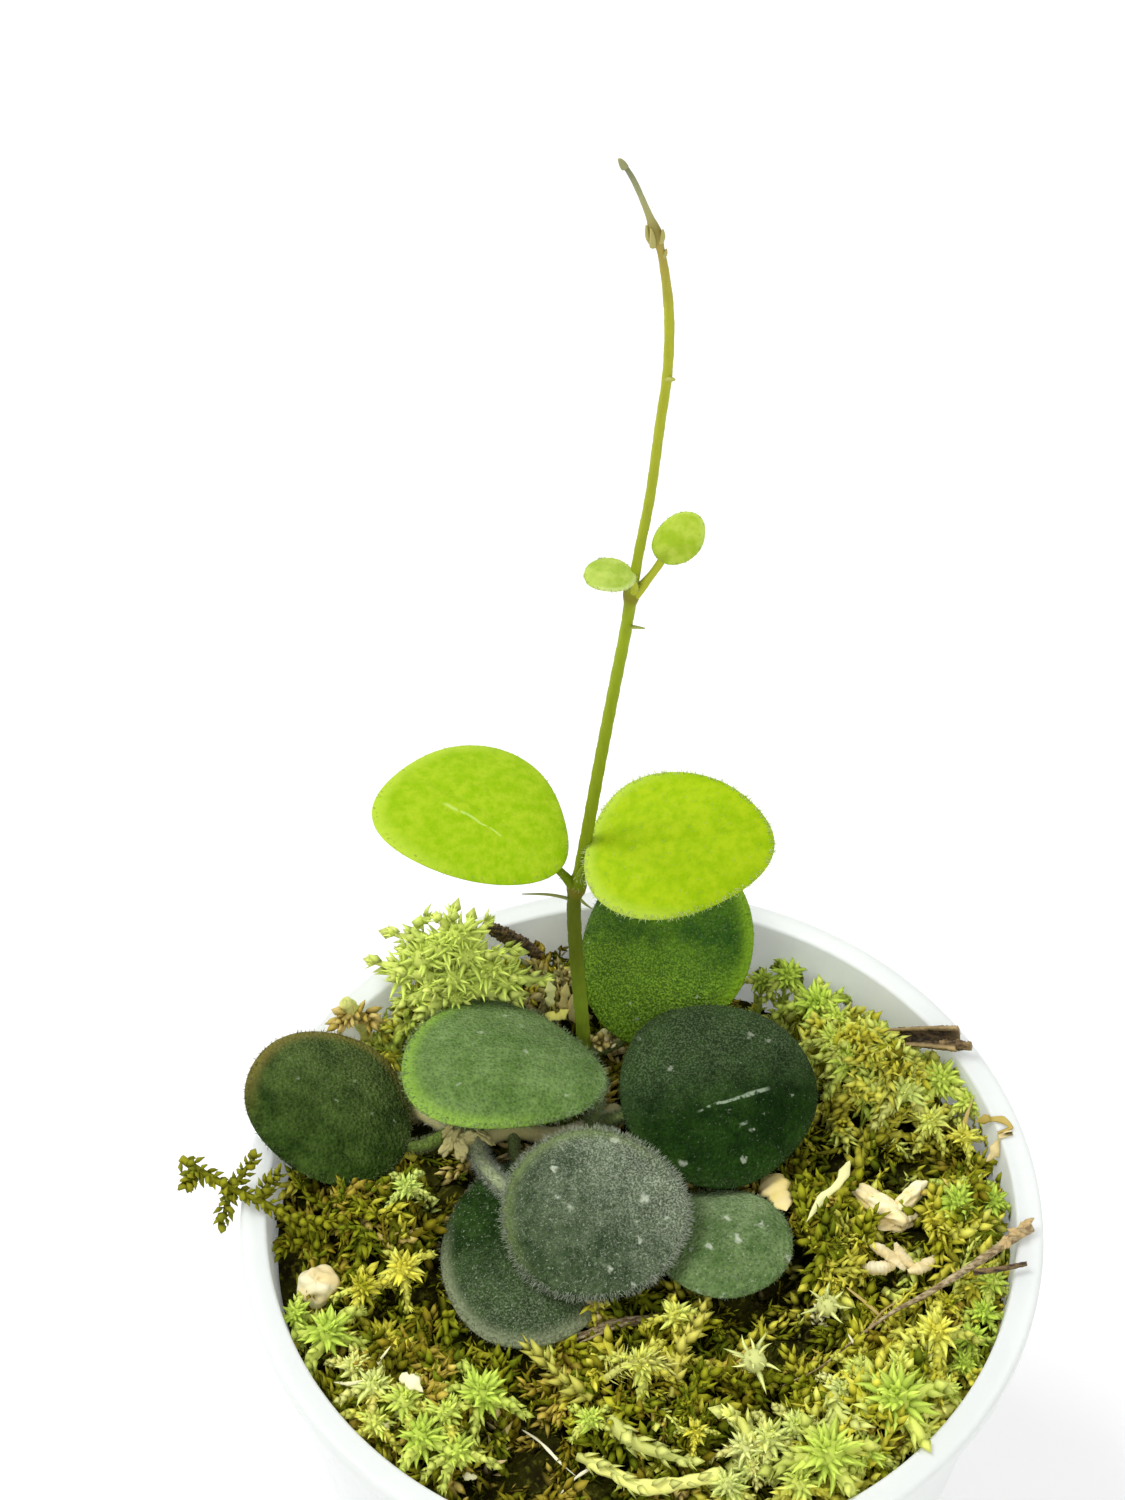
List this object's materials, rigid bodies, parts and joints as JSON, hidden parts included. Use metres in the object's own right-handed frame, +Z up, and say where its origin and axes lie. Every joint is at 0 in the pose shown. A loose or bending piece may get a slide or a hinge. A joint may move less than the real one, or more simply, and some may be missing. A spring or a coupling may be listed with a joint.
{
  "type": "potted hoya serpens",
  "caption": "Small creeping vine with round fuzzy leaves and a tall bare shoot, rooted in live moss in a round translucent nursery pot.",
  "frame": {"origin": "centre of the flat underside of the pot", "axes": "+Z up along the pot's axis, -Y to the front where the moss is fullest, +X to the right"},
  "size_m": [0.0971, 0.09, 0.2006],
  "materials": {
    "pot_plastic": "milky translucent moulded plastic, smooth and slightly glossy",
    "soil": "damp dark brown mix of soil and old moss fibres",
    "moss_olive": "matte olive and brown older moss",
    "moss_lime": "light green living moss stars, matte and slightly translucent",
    "moss_ochre": "dry ochre and straw moss, matte",
    "stem_green": "olive green stem with brown joints and short down",
    "stem_fuzzy": "grey green stem under dense short hairs",
    "leaf_lime": "young lime green leaf, satin, fine bumps and fringe of short hairs",
    "leaf_green": "deep green pebbled leaf with a soft shine",
    "leaf_pale": "pale grey green downy leaf",
    "leaf_dark": "dark green downy leaf with silver flecks",
    "leaf_silver": "dark green leaf under dense silver down and flecks",
    "bark": "dark brown fibrous bark",
    "pale_wood": "cream splintered wood"
  },
  "bodies": {
    "root": {"pot": "pot_plastic", "growing_medium": "soil", "moss_bed": "moss_olive", "moss_tuft_back_left": "moss_lime", "moss_behind_stem": "moss_ochre", "moss_back_left": "moss_olive", "moss_left": "moss_olive", "moss_front_left": "moss_lime", "moss_front": "moss_ochre", "moss_front_right": "moss_lime", "moss_right": "moss_lime", "moss_centre_right": "moss_olive", "moss_back_right": "moss_lime", "moss_runner_left": "moss_olive", "moss_stalk_front": "moss_lime", "moss_stub_back_left": "moss_ochre", "upright_stem": "stem_green", "creeping_stem": "stem_fuzzy", "side_stem": "stem_fuzzy", "leaf_young_left": "leaf_lime", "leaf_young_right": "leaf_lime", "leaf_green_back": "leaf_green", "leaf_pale_mid": "leaf_pale", "leaf_left": "leaf_dark", "leaf_right": "leaf_dark", "leaf_under_right": "leaf_dark", "leaf_front": "leaf_silver", "leaf_lower_left": "leaf_dark", "leaf_lower_right": "leaf_silver", "leaf_tip_left": "leaf_pale", "leaf_tip_right": "leaf_pale", "bark_strip": "bark", "bark_tube": "bark", "twig_long": "bark", "twig_thin": "bark", "twig_fibrous": "bark", "wood_chip_round": "pale_wood", "wood_flake_forked": "pale_wood", "wood_flake_low": "pale_wood"}
  },
  "joints": []
}
